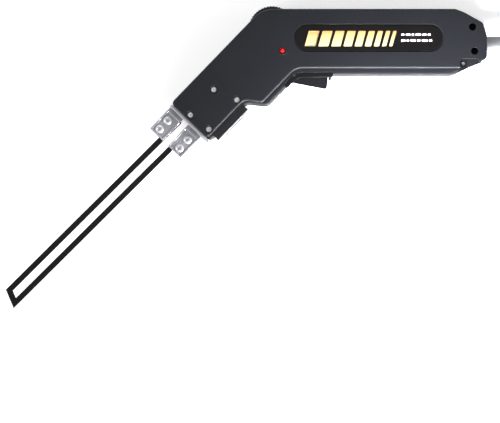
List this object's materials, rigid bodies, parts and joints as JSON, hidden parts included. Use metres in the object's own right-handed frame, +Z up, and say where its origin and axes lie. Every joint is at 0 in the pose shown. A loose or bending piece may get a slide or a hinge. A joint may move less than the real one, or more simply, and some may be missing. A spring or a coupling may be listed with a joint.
{
  "type": "hot blade foam cutter",
  "caption": "Pistol-shaped electric foam cutter with a U-shaped hot blade clamped in its nose, trigger, heat dial, lamp and coiled mains lead.",
  "frame": {"origin": "where the middle lines of handle and nose cross, on the flat side face that the tool rests on", "axes": "+Z up, across the thickness of the housing; +X back along the handle towards the lead; the nose points to -X and -Y at 46 degrees"},
  "size_m": [0.5063, 0.2448, 0.044],
  "materials": {
    "body_plastic": "fine satin, dark slate",
    "black_plastic": "satin black",
    "trigger_plastic": "satin black",
    "dial_plastic": "satin black, knurled",
    "label_film": "printed film",
    "lamp_red": "tinted, clear",
    "screw_steel": "bright zinc",
    "clamp_screw_steel": "bright zinc",
    "clamp_metal": "nickel plated",
    "nose_plate_metal": "ground",
    "shoe_steel": "ground",
    "blade_black": "black oxide",
    "spring_steel": "drawn wire",
    "pot_metal": "stamped",
    "board": "solder mask",
    "component_black": "moulded",
    "switch_plastic": "moulded",
    "plunger_plastic": "moulded",
    "core_steel": "stacked sheet, varnished",
    "bobbin_plastic": "moulded",
    "winding_copper": "enamelled wire",
    "bar_copper": "bare copper",
    "lead_pvc": "smooth",
    "sleeve_rubber": "smooth",
    "cord_rubber": "smooth",
    "plug_pvc": "moulded",
    "pin_sleeve": "moulded",
    "pin_brass": "nickel plated"
  },
  "bodies": {
    "housing": {"housing_upper": "body_plastic", "housing_lower": "body_plastic", "housing_screws": "screw_steel", "name_plate": "label_film", "pilot_lamp": "lamp_red", "potentiometer": "pot_metal", "circuit_board": "board", "board_components": "component_black", "trigger_bezel": "black_plastic", "trigger_pin": "screw_steel", "trigger_spring": "spring_steel", "switch_body": "switch_plastic", "transformer_core": "core_steel", "primary_bobbin": "bobbin_plastic", "primary_winding": "winding_copper", "secondary_bar": "bar_copper", "nose_plate": "nose_plate_metal", "clamp_bases": "clamp_metal", "shoe_block": "black_plastic", "shoe_plate": "shoe_steel", "shoe_screws": "screw_steel", "strain_relief": "sleeve_rubber", "inner_leads": "lead_pvc", "cord": "cord_rubber", "cord_coil": "cord_rubber", "cord_tail": "cord_rubber", "plug_body": "plug_pvc", "plug_pin_sleeves": "pin_sleeve", "plug_pins": "pin_brass"},
    "dial": {"dial_wheel": "dial_plastic", "dial_shaft": "screw_steel"},
    "trigger": {"trigger": "trigger_plastic"},
    "switch_plunger": {"switch_plunger": "plunger_plastic"},
    "blade": {"blade": "blade_black"},
    "clamp_1": {"clamp_plate_1": "clamp_metal"},
    "clamp_2": {"clamp_plate_2": "clamp_metal"},
    "screw_1": {"clamp_screw_1": "clamp_screw_steel"},
    "screw_2": {"clamp_screw_2": "clamp_screw_steel"},
    "screw_3": {"clamp_screw_3": "clamp_screw_steel"},
    "screw_4": {"clamp_screw_4": "clamp_screw_steel"}
  },
  "joints": [
    {"name": "trigger_squeeze", "type": "hinge", "parent": "housing", "child": "trigger", "pos_m": [0.0206, -0.026, 0.022], "axis": [0, 0, 1], "range_deg": [0, 9], "stiffness_Nm_per_rad": 0.35, "springref_deg": -8.59, "deforming": ["trigger_spring"]},
    {"name": "switch_press", "type": "slide", "parent": "housing", "child": "switch_plunger", "axis": [0, 1, 0], "range_m": [0, 0.0029]},
    {"name": "dial_turn", "type": "hinge", "parent": "housing", "child": "dial", "pos_m": [0.0033, 0.0104, 0.022], "axis": [0, 0, 1], "range_deg": [-135, 135]},
    {"name": "blade_withdraw", "type": "slide", "parent": "housing", "child": "blade", "axis": [-0.7096, -0.7046, 0], "range_m": [0, 0.03]},
    {"name": "clamp_1_lift", "type": "slide", "parent": "housing", "child": "clamp_1", "axis": [0, 0, 1], "range_m": [0, 0.0014]},
    {"name": "clamp_2_lift", "type": "slide", "parent": "housing", "child": "clamp_2", "axis": [0, 0, 1], "range_m": [0, 0.0014]},
    {"name": "screw_1_turn", "type": "hinge", "parent": "clamp_1", "child": "screw_1", "pos_m": [-0.08024, -0.06222, 0.022], "axis": [0, 0, 1], "range_deg": [0, 720]},
    {"name": "screw_2_turn", "type": "hinge", "parent": "clamp_1", "child": "screw_2", "pos_m": [-0.08677, -0.06898, 0.022], "axis": [0, 0, 1], "range_deg": [0, 720]},
    {"name": "screw_3_turn", "type": "hinge", "parent": "clamp_2", "child": "screw_3", "pos_m": [-0.06435, -0.07757, 0.022], "axis": [0, 0, 1], "range_deg": [0, 720]},
    {"name": "screw_4_turn", "type": "hinge", "parent": "clamp_2", "child": "screw_4", "pos_m": [-0.07088, -0.08433, 0.022], "axis": [0, 0, 1], "range_deg": [0, 720]}
  ],
  "couplings": [
    {"joint": "switch_press", "follows": "trigger_squeeze", "m_per_rad": 0.0176},
    {"joint": "screw_1_turn", "follows": "clamp_1_lift", "rad_per_m": 8976},
    {"joint": "screw_2_turn", "follows": "clamp_1_lift", "rad_per_m": 8976},
    {"joint": "screw_3_turn", "follows": "clamp_2_lift", "rad_per_m": 8976},
    {"joint": "screw_4_turn", "follows": "clamp_2_lift", "rad_per_m": 8976}
  ]
}
